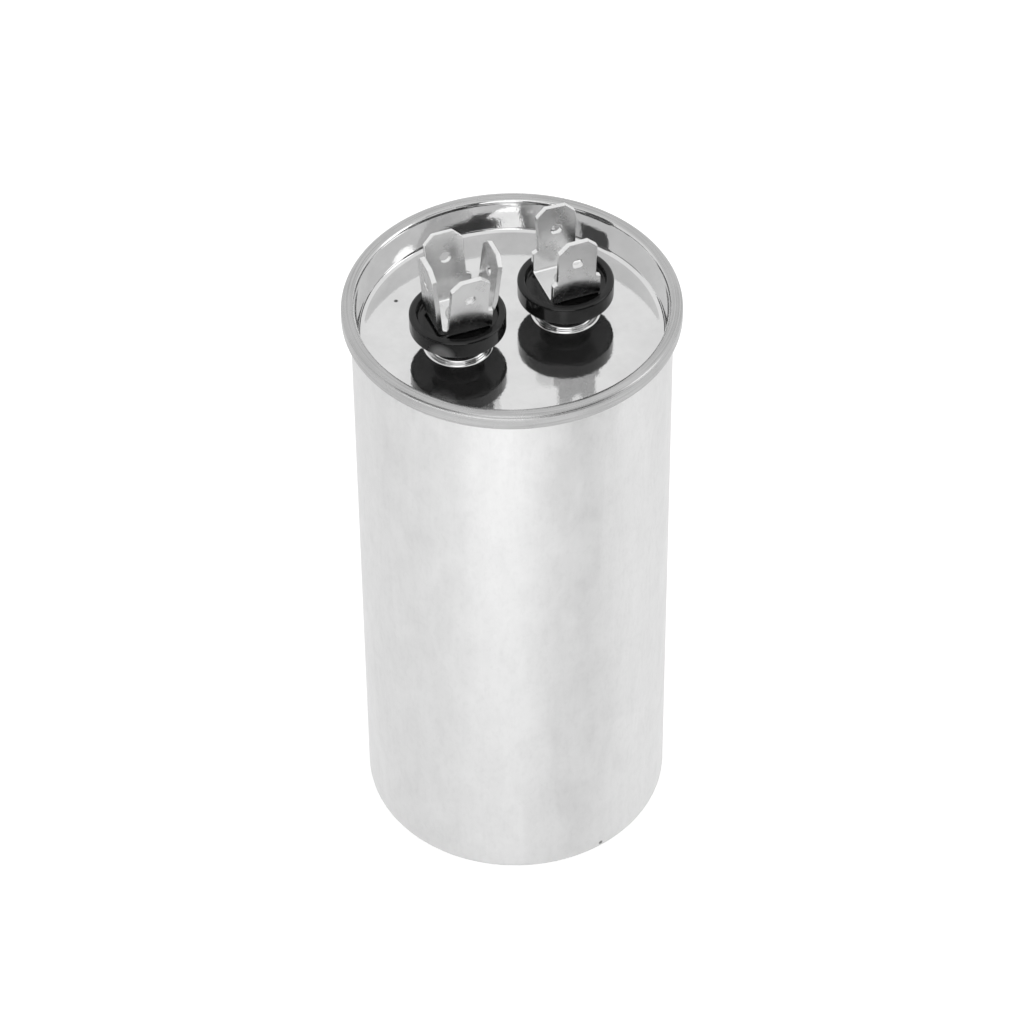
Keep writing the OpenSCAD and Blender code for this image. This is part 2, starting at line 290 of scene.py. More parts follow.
@dataclass(frozen=True)
class Grain:
    """A noise pattern.

    Attributes:
        scale: Cells per metre along each axis.
        detail: Octaves.
        roughness: Weight of the finer octaves.
        distortion: How much the pattern is folded.
    """

    scale: Triple
    detail: float = 3.0
    roughness: float = 0.5
    distortion: float = 0.0


@dataclass(frozen=True)
class Spot:
    """A mark on a surface, full in its middle and faded at its edge.

    Attributes:
        centre: Its place, in mm.
        size: Distance in mm at which it has faded.
        tone: Grey in its middle.
        core: Share of the size that is full.
    """

    centre: Triple
    size: float
    tone: float
    core: float = 0.55


class Graph:
    """A node tree, built from its coordinates on. Most methods give an output socket.

    The colour sockets of a Mix node share their names with others, so they go by number.
    """

    MIX_FIRST, MIX_SECOND, MIX_RESULT = 6, 7, 2

    def __init__(self, owner: bpy.types.Material | bpy.types.World) -> None:
        """Start with an emptied node tree.

        Args:
            owner: The material or the world that has it.
        """
        owner.use_nodes = True
        self.owner = owner
        self.tree = owner.node_tree
        self.tree.nodes.clear()

    def add(self, kind: str, feeds: dict[str | int, object] | None = None,
            **settings: object) -> bpy.types.Node:
        """Add a node, set its properties and feed its inputs.

        Args:
            kind: The node's type, without its ShaderNode prefix.
            feeds: The socket or the value for each input, by name or number.
            **settings: Properties of the node.

        Returns:
            The new node.
        """
        node = self.tree.nodes.new("ShaderNode" + kind)
        for key, value in settings.items():
            setattr(node, key, value)
        for key, value in (feeds or {}).items():
            if isinstance(value, Socket):
                self.tree.links.new(value, node.inputs[key])
            else:
                node.inputs[key].default_value = value
        return node

    def maths(self, operation: str, *values: Socket | float) -> Socket:
        """Work out a number from sockets and numbers."""
        return self.add("Math", dict(enumerate(values)), operation=operation).outputs[0]

    def place(self, scale: Triple, origin: Triple = (0.0, 0.0, 0.0)) -> Socket:
        """Read the object's own coordinates, scaled about a point.

        Args:
            scale: Cells per metre along each axis.
            origin: The point in mm that stays at zero.

        Returns:
            The scaled coordinates.
        """
        feeds = {"Vector": self.add("TexCoord").outputs["Object"], "Scale": scale,
                 "Location": [-o * MM * s for o, s in zip(origin, scale)]}
        return self.add("Mapping", feeds).outputs["Vector"]

    def distance(self, scale: Triple, origin: Triple = (0.0, 0.0, 0.0)) -> Socket:
        """Give the scaled distance from a point, with the arguments of place."""
        feeds = {0: self.place(scale, origin)}
        return self.add("VectorMath", feeds, operation="LENGTH").outputs["Value"]

    def noise(self, grain: Grain, where: Socket | None = None) -> Socket:
        """Add noise.

        Args:
            grain: Its pattern.
            where: Coordinates to use for the object's own.

        Returns:
            The value of the noise.
        """
        if where is None:
            where = self.place(grain.scale)
        return self.add("TexNoise", {
            "Vector": where, "Scale": 1.0, "Detail": grain.detail,
            "Roughness": grain.roughness, "Distortion": grain.distortion}).outputs["Fac"]

    def spread(self, source: Socket, span: Point, limits: Point) -> Socket:
        """Map a value's span to new limits, clamped.

        Args:
            source: The value.
            span: Lowest and highest value that is read.
            limits: What they become.

        Returns:
            The mapped value.
        """
        feeds = dict(zip(("From Min", "From Max", "To Min", "To Max"), span + limits))
        return self.add("MapRange", {"Value": source, **feeds}).outputs["Result"]

    def tint(self, source: Socket, span: Point, low: Triple, high: Triple) -> Socket:
        """Turn a value into a colour by a ramp.

        Args:
            source: The value.
            span: Where on the ramp the two colours stand.
            low: The first colour.
            high: The second colour.

        Returns:
            The colour.
        """
        ramp = self.add("ValToRGB", {"Fac": source})
        for element, place, colour in zip(ramp.color_ramp.elements, span, (low, high)):
            element.position = place
            element.color = (*colour, 1.0)
        return ramp.outputs["Color"]

    def times(self, first: Socket, second: Socket, share: Socket | float = 1.0) -> Socket:
        """Multiply two colours.

        Args:
            first: The colour that is always there.
            second: The colour that it is multiplied by.
            share: How much the second one counts.

        Returns:
            The product.
        """
        feeds = {0: share, self.MIX_FIRST: first, self.MIX_SECOND: second}
        node = self.add("Mix", feeds, data_type="RGBA", blend_type="MULTIPLY")
        return node.outputs[self.MIX_RESULT]

    def bump(self, source: Socket, height: float, below: Socket | None = None) -> Socket:
        """Raise the surface by a value, on top of an earlier bump.

        Args:
            source: The value.
            height: Height of a value of one, in mm.
            below: The normal of the bump that this one adds to.

        Returns:
            The normal.
        """
        feeds = {"Strength": 1.0, "Distance": height * MM, "Height": source}
        if below is not None:
            feeds["Normal"] = below
        return self.add("Bump", feeds).outputs["Normal"]

    def share(self, spot: Spot) -> Socket:
        """Give the value that is one in a spot and fades to zero round it."""
        reach = self.distance((1 / (spot.size * MM),) * 3, spot.centre)
        return self.spread(reach, (spot.core, 1.0), (1.0, 0.0))

    def marked(self, colour: Socket, spot: Spot) -> Socket:
        """Darken a colour in a spot."""
        return self.times(colour, self.tint(self.share(spot), (0.0, 1.0), WHITE, grey(spot.tone)))

    def surface(self, **feeds: object) -> bpy.types.Material:
        """Close a material with a Principled shader.

        Args:
            **feeds: Sockets and values for its inputs, by name with _ for a space.

        Returns:
            The material.
        """
        named = {key.replace("_", " "): value for key, value in feeds.items()}
        shader = self.add("BsdfPrincipled", named)
        self.add("OutputMaterial", {"Surface": shader.outputs["BSDF"]})
        return self.owner


@dataclass(frozen=True)
class SatinAluminium:
    """Drawn aluminium: soft blotches, faint upright marks, and sheen that runs upright."""

    name: str = "satin_aluminium"
    tone: float = 0.77
    mottle: float = 0.02
    cloud: Grain = Grain((230, 230, 130), 5, 0.62, 0.6)
    cloud_span: Point = (0.3, 0.7)
    streak: Grain = Grain((420, 420, 40), 4, 0.65, 0.5)
    streak_span: Point = (0.3, 0.6)
    streak_tone: float = 0.97
    pores: Grain = Grain((1300, 1300, 700), 3, 0.6)
    pore_span: Point = (0.34, 0.52)
    pore_tone: float = 0.972
    pore_height: float = 0.025
    dents: Grain = Grain((420, 420, 240))
    dent_height: float = 0.02
    roughness: float = 0.40
    uneven: float = 0.04
    brushing: float = 0.8
    sheen_turn: float = 0.25
    speck: Spot = Spot((4.28, -24.63, 1.9), 0.45, 0.3)

    def build(self) -> bpy.types.Material:
        """Build the material of the can's outside.

        Returns:
            The material.
        """
        graph = Graph(bpy.data.materials.new(self.name))
        cloud, pores = graph.noise(self.cloud), graph.noise(self.pores)
        base = graph.tint(cloud, self.cloud_span, grey(self.tone - self.mottle),
                          grey(self.tone + self.mottle))
        streak = graph.noise(self.streak)
        lines = graph.tint(streak, self.streak_span, grey(self.streak_tone), WHITE)
        grain = graph.tint(pores, self.pore_span, grey(self.pore_tone), WHITE)
        dull = graph.spread(cloud, self.cloud_span,
                            (self.roughness + self.uneven, self.roughness - self.uneven))
        dents = graph.bump(graph.noise(self.dents), self.dent_height,
                           graph.bump(pores, self.pore_height))
        colour = graph.marked(graph.times(graph.times(base, lines), grain), self.speck)
        return graph.surface(Base_Color=colour, Roughness=dull, Normal=dents, Metallic=1.0,
                             Anisotropic=self.brushing, Anisotropic_Rotation=self.sheen_turn)


@dataclass(frozen=True)
class BrightTinplate:
    """Bright tinned sheet, nearly a mirror, which the seaming rolls leave satin at the rim."""

    name: str = "bright_tinplate"
    tone: float = 0.70
    mottle: float = 0.03
    smear: Grain = Grain((160, 160, 160), 5, 0.65)
    smear_span: Point = (0.35, 0.65)
    roughness: float = 0.035
    dull_span: Point = (0.35, 0.7)
    dull: float = 0.03
    rim_span: Point = (24.35, 24.7)
    rim_tone: float = 0.73
    rim_roughness: float = 0.26
    line_scale: float = 7000.0
    line_drift: float = 80.0
    line_span: Point = (0.35, 0.6)
    line_tone: float = 0.76
    wave: Grain = Grain((70, 70, 70), 1)
    wave_height: float = 0.006
    grain: Grain = Grain((3200, 3200, 3200), 2)
    grain_height: float = 0.005
    metallic: float = 0.97
    pit: Spot = Spot((-13.63, 13.83, PANEL_Z), 0.4, 0.12)

    def build(self) -> bpy.types.Material:
        """Build the material of the lid.

        Returns:
            The material.
        """
        graph = Graph(bpy.data.materials.new(self.name))
        smear = graph.noise(self.smear)
        base = graph.tint(smear, self.smear_span, grey(self.tone - self.mottle),
                          grey(self.tone + self.mottle))
        rim = graph.spread(graph.distance((1.0, 1.0, 0.0)),
                           (self.rim_span[0] * MM, self.rim_span[1] * MM), (0.0, 1.0))
        shade = graph.times(base, graph.tint(rim, (0.0, 1.0), WHITE, grey(self.rim_tone)))
        lines = graph.tint(self.rolled(graph), self.line_span, grey(self.line_tone), WHITE)
        streaked = graph.times(shade, lines, rim)
        rough = graph.maths(
            "ADD", graph.spread(smear, self.dull_span, (0.0, self.dull)),
            graph.spread(rim, (0.0, 1.0), (self.roughness, self.rim_roughness)))
        grain = graph.bump(graph.noise(self.grain), self.grain_height,
                           graph.bump(graph.noise(self.wave), self.wave_height))
        return graph.surface(Base_Color=graph.marked(streaked, self.pit), Roughness=rough,
                             Normal=grain, Metallic=self.metallic)

    def rolled(self, graph: Graph) -> Socket:
        """Draw fine lines round the rim, by distance from the axis and by height.

        Args:
            graph: The material's nodes.

        Returns:
            The value of the lines.
        """
        fine = self.line_scale
        parts = graph.add("SeparateXYZ", {0: graph.place((self.line_drift, self.line_drift, fine))})
        where = graph.add("CombineXYZ", {"X": graph.distance((fine, fine, 0.0)),
                                         "Y": parts.outputs["X"], "Z": parts.outputs["Z"]})
        return graph.noise(Grain(UNSCALED), where.outputs[0])


@dataclass(frozen=True)
class TinnedBrass:
    """Tin-plated blades: satin grey with rolled streaks and worn patches, and a painted highlight
    on the base plate's top.
    """

    name: str = "tinned_brass"
    tone: float = 0.78
    roughness: float = 0.24
    darker: float = 0.02
    lighter: float = 0.03
    patch: Grain = Grain((420, 420, 420), 5, 0.7)
    patch_span: Point = (0.35, 0.65)
    dull_span: Point = (0.3, 0.7)
    uneven: float = 0.06
    streak: Grain = Grain((1800, 1800, 600))
    streak_height: float = 0.0015
    # Painted highlight: base colour times this gain below the first height, fading to none at the
    # second, in mm.
    painted_light_gain: float = 1.2
    painted_light_z: Point = (105.05, 105.4)

    def build(self) -> bpy.types.Material:
        """Build the material of the stampings and the rivets.

        Returns:
            The material.
        """
        graph = Graph(bpy.data.materials.new(self.name))
        # Painted highlight by height, which lightens the base plate's top and the blades' feet.
        height = graph.add("SeparateXYZ", {0: graph.place(UNSCALED)}).outputs["Z"]
        painted_top_light = graph.spread(height, (self.painted_light_z[0] * MM, self.painted_light_z[1] * MM),
                              (self.painted_light_gain, 1.0))
        patch = graph.noise(self.patch)
        base = graph.tint(patch, self.patch_span, grey(self.tone - self.darker),
                          grey(self.tone + self.lighter))
        dull = graph.spread(patch, self.dull_span,
                            (self.roughness + self.uneven, self.roughness - self.uneven))
        return graph.surface(Base_Color=graph.times(base, painted_top_light), Roughness=dull, Metallic=1.0,
                             Normal=graph.bump(graph.noise(self.streak), self.streak_height))


@dataclass(frozen=True)
class Moulding:
    """Moulded plastic, sealing compound, metal or wrap, with its grain and gloss.

    Attributes:
        name: The material's name.
        dark: Its darker tone.
        light: Its lighter tone.
        roughness: Middle of its roughness.
        grain: Cells per metre of its grain.
        height: Height of the grain, in mm.
        metallic: How metallic it is.
        upright: Cells along Z over those across.
        ior: Index of refraction.
        uneven: Share by which the roughness goes up and down.
        span: Values of the grain that are read.
        painted_reflection: A paler spot, painted where a reflection falls.
    """

    name: str
    dark: Triple
    light: Triple
    roughness: float
    grain: float = 700.0
    height: float = 0.004
    metallic: float = 0.0
    upright: float = 1.0
    ior: float = 1.5
    uneven: float = 0.15
    span: Point = (0.3, 0.7)
    painted_reflection: Spot | None = None

    def build(self) -> bpy.types.Material:
        """Build the material from its two tones and its grain.

        Returns:
            The material.
        """
        graph = Graph(bpy.data.materials.new(self.name))
        scale = (self.grain, self.grain, self.grain * self.upright)
        cloud = graph.noise(Grain(scale, 4, 0.6))
        base = graph.tint(cloud, self.span, self.dark, self.light)
        # A paler spot painted where a reflection falls.
        if self.painted_reflection:
            feeds = {0: graph.share(self.painted_reflection), graph.MIX_FIRST: base,
                     graph.MIX_SECOND: (*grey(self.painted_reflection.tone), 1.0)}
            base = graph.add("Mix", feeds, data_type="RGBA").outputs[graph.MIX_RESULT]
        dull = graph.spread(cloud, self.span, (self.roughness * (1 - self.uneven),
                                               self.roughness * (1 + self.uneven)))
        return graph.surface(Base_Color=base, Roughness=dull, IOR=self.ior,
                             Normal=graph.bump(cloud, self.height), Metallic=self.metallic)


class Finish(Enum):
    """Every finish of the part; each is built once."""

    ALUMINIUM = SatinAluminium()
    TINPLATE = BrightTinplate()
    BLADE = TinnedBrass()
    RIVET = TinnedBrass("tinned_rivet", 0.66, 0.26)
    # The left cup's paler spot low on its front side is a painted reflection.
    BLACK = Moulding("black_moulding", grey(0.004), grey(0.009), 0.13, height=0.003, ior=1.4,
                     painted_reflection=Spot((-14.8, -5.9, 102.5), 2.6, 0.14))
    IVORY = Moulding("ivory_moulding", (0.70, 0.67, 0.59), (0.80, 0.77, 0.69), 0.42)
    SEAL = Moulding("seal_compound", (0.05, 0.047, 0.043), (0.10, 0.095, 0.09), 0.7, 1500, 0.02)
    LUG = Moulding("lug_brass", (0.70, 0.52, 0.22), (0.80, 0.62, 0.30), 0.24, 900, 0.002, 1.0)
    WIRE = Moulding("tinned_wire", (0.62, 0.58, 0.53), (0.74, 0.70, 0.66), 0.22, 1800, 0.002, 1.0)
    SPRAY = Moulding("sprayed_zinc", (0.34, 0.35, 0.37), (0.56, 0.57, 0.59), 0.62, 2600, 0.05, 0.8)
    FILM = Moulding("wound_film", (0.50, 0.53, 0.58), (0.68, 0.71, 0.76), 0.2, 3200, 0.004, 0.6,
                    0.02)
    SLEEVE = Moulding("sleeve_film", (0.62, 0.52, 0.32), (0.74, 0.66, 0.45), 0.34, 260, 0.01)

    def coat(self, piece: Piece) -> None:
        """Give a piece this finish alone. The material is built at its first use.

        Args:
            piece: The object.
        """
        piece.data.materials.clear()
        piece.data.materials.append(
            bpy.data.materials.get(self.value.name) or self.value.build())


def dress(piece: Piece, finish: Finish, slot: str, *nodes: str) -> None:
    """Give a new piece its finish, hang it under the root and hide the CAD nodes that it stands
    for.

    Args:
        piece: The new object.
        finish: Its finish.
        slot: The record's material slot; not used.
        *nodes: The CAD nodes that it replaces.
    """
    finish.coat(piece)
    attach(piece, "root")
    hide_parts(*nodes)
    LOG.info("%s: %d faces", piece.name, len(piece.data.polygons))


@dataclass
class Can:
    """The drawn can, with its rounded bottom corner and the hook that the seam holds."""

    radius: float = 25.0
    wall: float = 0.4
    floor: float = 0.6
    corner: float = 1.8
    hook_z: float = 103.0833
    hook_mid_r: float = 25.25
    hook_out: float = 0.65
    hook_end_z: float = 102.025
    outer_steps: int = 12
    inner_steps: int = 10
    hold: float = 0.12
    facets: int = 224

    def section(self) -> list[Point]:
        """Give the can's half section, from the middle of the base round to the floor's top.

        Returns:
            The points (radius, height), in mm.
        """
        inner_corner = self.corner - self.wall
        hook_in = self.hook_out - self.wall
        corner_r = self.radius - self.corner
        hook = (self.hook_mid_r, self.hook_z)
        lip_r = self.hook_mid_r + hook_in
        return held(
            [(0.0, 0.0), (corner_r / 2, 0.0)]
            + arc((corner_r, self.corner), self.corner, -90, 0, self.outer_steps)
            + arc(hook, hook_in, 180, 0, self.inner_steps)
            + [(lip_r, self.hook_end_z), (lip_r + self.wall, self.hook_end_z)]
            + arc(hook, self.hook_out, 0, 180, self.outer_steps)
            + arc((corner_r, self.floor + inner_corner), inner_corner, 0, -90, self.inner_steps)
            + [(0.0, self.floor)], self.hold)

    def build(self) -> None:
        """Build and dress the can."""
        piece = Bench.turned("can_shell", self.section(), self.facets)
        Bench.smooth(piece)
        dress(piece, Finish.ALUMINIUM, "can_aluminium", "can")


@dataclass
class Lid:
    """The seamed lid: panel with two pressed bosses, wall, rolled crest and turned-in hook."""

    sheet: float = 0.35
    foot_r: float = 23.86
    corner: float = 0.8
    wall_r: float = 24.25
    wall_drop: float = 0.3
    taper_z: float = 101.3
    crest_mid_r: float = 25.325
    crest_z: float = 103.225
    crest_out: float = 1.075
    curl_mid_r: float = 25.775
    curl_z: float = 101.925
    curl_out: float = 0.625
    hook_end_z: float = 102.9333
    groove_angle: float = 30.0
    groove_half: float = 6.0
    groove_floor: float = 2.0
    groove: float = 0.07
    boss_h: float = 1.2
    boss_top_r: float = 4.1
    boss_foot_r: float = 5.4
    hole_r: float = 2.65
    apron: float = 0.3
    wall_steps: int = 8
    bend_steps: int = 10
    crest_steps: int = 22
    groove_steps: int = 2
    shoulder_steps: int = 6
    curl_steps: int = 12
    under_steps: int = 16
    hold: float = 0.12
    boss_hold: float = 0.08
    facets: int = 288
    boss_facets: int = 128

    def rim_section(self) -> list[Point]:
        """Give the rim's half section, from the panel's top over the seam to its underside.

        Returns:
            The points (radius, height), in mm.
        """
        t = self.sheet
        corner = (self.foot_r - self.corner, PANEL_Z + self.corner)
        crest = (self.crest_mid_r, self.crest_z)
        curl = (self.curl_mid_r, self.curl_z)
        hook_r = self.curl_mid_r - self.curl_out
        edge_r = corner[0] - self.apron
        rise = self.crest_z - self.wall_drop - corner[1]
        lean = self.wall_r - self.foot_r
        tilt = math.degrees(math.atan(2 * lean / rise))
        shares = [i / self.wall_steps for i in range(1, self.wall_steps + 1)]
        groove, half, flat = self.groove_angle, self.groove_half, self.groove_floor
        return held(
            [(edge_r, PANEL_Z)]
            + arc(corner, self.corner, -90, -tilt, self.bend_steps)
            + [(self.wall_r - lean * (1 - s) ** 2, corner[1] + rise * s) for s in shares]
            + arc(crest, self.crest_out, 180, groove + half, self.crest_steps)
            + arc(crest, self.crest_out - self.groove, groove + flat, groove - flat,
                  self.groove_steps)
            + arc(crest, self.crest_out, groove - half, 0, self.shoulder_steps)
            + arc(curl, self.curl_out, 0, -180, self.curl_steps)
            + [(hook_r, self.hook_end_z), (hook_r + t, self.hook_end_z)]
            + arc(curl, self.curl_out - t, -180, 0, self.bend_steps)
            + arc(crest, self.crest_out - t, 0, 180, self.under_steps)
            + [(self.wall_r + t, self.taper_z)]
            + arc(corner, self.corner + t, 0, -90, self.bend_steps)
            + [(edge_r, PANEL_Z - t)], self.hold)

    def boss_section(self) -> list[Point]:
        """Give a boss's half section, from its foot over the top and back underneath.

        Returns:
            The points (radius, height), in mm.
        """
        t, steps = self.sheet, self.bend_steps
        angle = 2 * math.degrees(math.atan(self.boss_h / (self.boss_foot_r - self.boss_top_r)))
        bend = self.boss_h / 2 / (1 - math.cos(math.radians(angle)))
        crown = (self.boss_top_r, PANEL_Z + self.boss_h - bend)
        sole = (self.boss_foot_r, PANEL_Z + bend)
        skirt_r = self.boss_foot_r + self.apron
        top_z = PANEL_Z + self.boss_h
        return held(
            [(skirt_r, PANEL_Z)]
            + arc(sole, bend, 270, 270 - angle, steps)
            + arc(crown, bend, 90 - angle, 90, steps)[1:]
            + [(self.hole_r, top_z), (self.hole_r, top_z - t)]
            + arc(crown, bend - t, 90, 90 - angle, steps)
            + arc(sole, bend + t, 270 - angle, 270, steps)[1:]
            + [(skirt_r, PANEL_Z - t)], self.boss_hold)

    def fill_panel(self, piece: Piece) -> None:
        """Close the panel between the rim and the bosses, on both faces of the sheet.

        Args:
            piece: The rim and the bosses, joined in one object.
        """
        Bench.only(piece)
        for height in (PANEL_Z, PANEL_Z - self.sheet):
            Bench.mode("EDIT")
            bpy.ops.mesh.select_mode(type="EDGE")
            bpy.ops.mesh.select_all(action="DESELECT")
            bpy.ops.mesh.select_non_manifold(use_multi_face=False, use_non_contiguous=False,
                                             use_verts=False)
            Bench.mode("OBJECT")
            mesh = piece.data
            for edge in mesh.edges:
                level = mesh.vertices[edge.vertices[0]].co.z
                if abs(level - height * MM) > NEAR:
                    edge.select = False
            for polygon in mesh.polygons:
                polygon.select = False
            Bench.mode("EDIT")
            bpy.ops.mesh.fill(use_beauty=True)
            Bench.mode("OBJECT")

    def build(self) -> None:
        """Build and dress the lid."""
        rim = Bench.turned("seamed_lid", self.rim_section(), self.facets, closed=False)
        bosses = [Bench.turned(f"boss_{side.name}", self.boss_section(), self.boss_facets,
                               side.value * PITCH / 2, closed=False) for side in Side]
        Bench.only(rim, *bosses)
        bpy.ops.object.join()
        self.fill_panel(rim)
        Bench.mode("EDIT")
        Bench.welded()
        Bench.smooth(rim)
        dress(rim, Finish.TINPLATE, "lid_tinplate", "lid")


class TurnedPair:
    """A turned piece that each terminal has: built on the right and copied to the left."""

    piece: str
    node: str
    finish: Finish
    slot: str
    facets: int
    smooth: float

    def section(self) -> list[Point]:
        """Give the half section as points (radius, height), in mm."""
        raise NotImplementedError

    def build(self) -> None:
        """Build and dress the right piece and its copy on the left."""
        right = Bench.turned(f"right_{self.piece}", self.section(), self.facets, PITCH / 2)
        Bench.smooth(right, self.smooth)
        left = Bench.copy(right, f"left_{self.piece}", -PITCH)
        dress(right, self.finish, self.slot, f"right_{self.node}")
        dress(left, self.finish, self.slot, f"left_{self.node}")


@dataclass
class TerminalCup(TurnedPair):
    """The black insulating cup with its recess, neck and spigot."""

    piece: str = "cup"
    node: str = "terminal_cup"
    finish: Finish = Finish.BLACK
    slot: str = "cup_black"
    radius: float = 7.5
    under_z: float = 102.3
    top_z: float = 105.45
    rounding: float = 0.45
    lip_rounding: float = 0.25
    recess_r: float = 6.3
    core_round: float = 0.3
    bore_r: float = 1.55
    neck_r: float = 3.9
    neck_fillet: float = 0.4
    neck_z: float = 99.4
    spigot_r: float = 2.6
    spigot_z: float = 99.05
    small_steps: int = 6
    edge_steps: int = 8
    hold: float = 0.06
    facets: int = 144
    smooth: float = SMOOTH_BELOW

    def section(self) -> list[Point]:
        """Give the cup's half section, a closed loop from the recess's floor outwards.

        Returns:
            The points (radius, height), in mm.
        """
        e, lip, f, c = self.rounding, self.lip_rounding, self.neck_fillet, self.core_round
        edge_r, small, large = self.radius - e, self.small_steps, self.edge_steps
        return held(
            [(self.bore_r, PLATE_Z)]
            + arc((self.recess_r - c, PLATE_Z + c), c, -90, 0, small)
            + arc((self.recess_r + lip, self.top_z - lip), lip, 180, 90, small)
            + arc((edge_r, self.top_z - e), e, 90, 0, large)
            + arc((edge_r, self.under_z + e), e, 0, -90, large)
            + arc((self.neck_r + f, self.under_z - f), f, 90, 180, small)
            + [(self.neck_r, self.neck_z), (self.spigot_r, self.neck_z),
               (self.spigot_r, self.spigot_z), (self.bore_r, self.spigot_z),
               (self.bore_r, PLATE_Z)], self.hold)


@dataclass
class Rivet(TurnedPair):
    """The rivet through a terminal, with its low domed head and its clinched foot."""

    piece: str = "rivet_pin"
    node: str = "rivet"
    finish: Finish = Finish.RIVET
    slot: str = "rivet_tinned"
    shank_r: float = 1.5
    head_r: float = 1.9
    head_h: float = 0.4
    clinch_r: float = 2.6
    clinch_z: float = 95.45
    clinch_round: float = 0.2
    lug_z: float = 96.15
    foot_steps: int = 4
    dome_steps: int = 6
    hold: float = 0.06
    facets: int = 72
    smooth: float = 35.0

    def section(self) -> list[Point]:
        """Give the rivet's half section, from the middle of its foot to the top of its head.

        Returns:
            The points (radius, height), in mm.
        """
        head_z, foot, step = PLATE_Z + PLATE_SHEET, self.clinch_round, self.head_h / 2
        return held(
            [(0.0, self.clinch_z)]
            + arc((self.clinch_r - foot, self.clinch_z + foot), foot, -90, 0, self.foot_steps)
            + [(self.clinch_r, self.lug_z), (self.shank_r, self.lug_z),
               (self.shank_r, head_z), (self.head_r, head_z)]
            + arc((self.head_r - step, head_z + step), step, 0, 90, self.dome_steps)
            + [(0.0, head_z + self.head_h)], self.hold)


@dataclass(frozen=True)
class Blade:
    """One folded blade of a stamping.

    Attributes:
        facing: Direction it is folded up on, in degrees from +X in the stamping's own plan.
        flare: Outward lean in degrees.
        foot: Width at its foot, in mm.
        twist: Turn of its tip in degrees, clockwise from above.
        kink: Further lean of its upper part, in degrees.
        pinned: X or Y in mm of what keeps its place when its foot narrows.
        cut: How much shorter it is than the others, in mm.
    """

    facing: float
    flare: float
    foot: float
    twist: float = 0.0
    kink: float = 0.0
    pinned: float = 0.0
    cut: float = 0.0

    @property
    def outward(self) -> Vector:
        """The direction in plan that the blade leans in."""
        heading = math.radians(self.facing)
        return Vector((round(math.cos(heading)), round(math.sin(heading)), 0))

    @property
    def along_x(self) -> bool:
        """Whether the blade looks along X and not along Y."""
        return self.outward.x != 0

    def lean(self, kinked: bool) -> float:
        """Give the lean below or above the kink, in radians."""
        return math.radians(self.flare + self.kink * kinked)

    def up(self, kinked: bool = False) -> Vector:
        """Give the direction up the blade, below or above its kink."""
        return self.outward * math.sin(self.lean(kinked)) + UP * math.cos(self.lean(kinked))

    def face(self, kinked: bool = False) -> Vector:
        """Give the direction that the blade's outer face looks in."""
        return self.outward * math.cos(self.lean(kinked)) - UP * math.sin(self.lean(kinked))


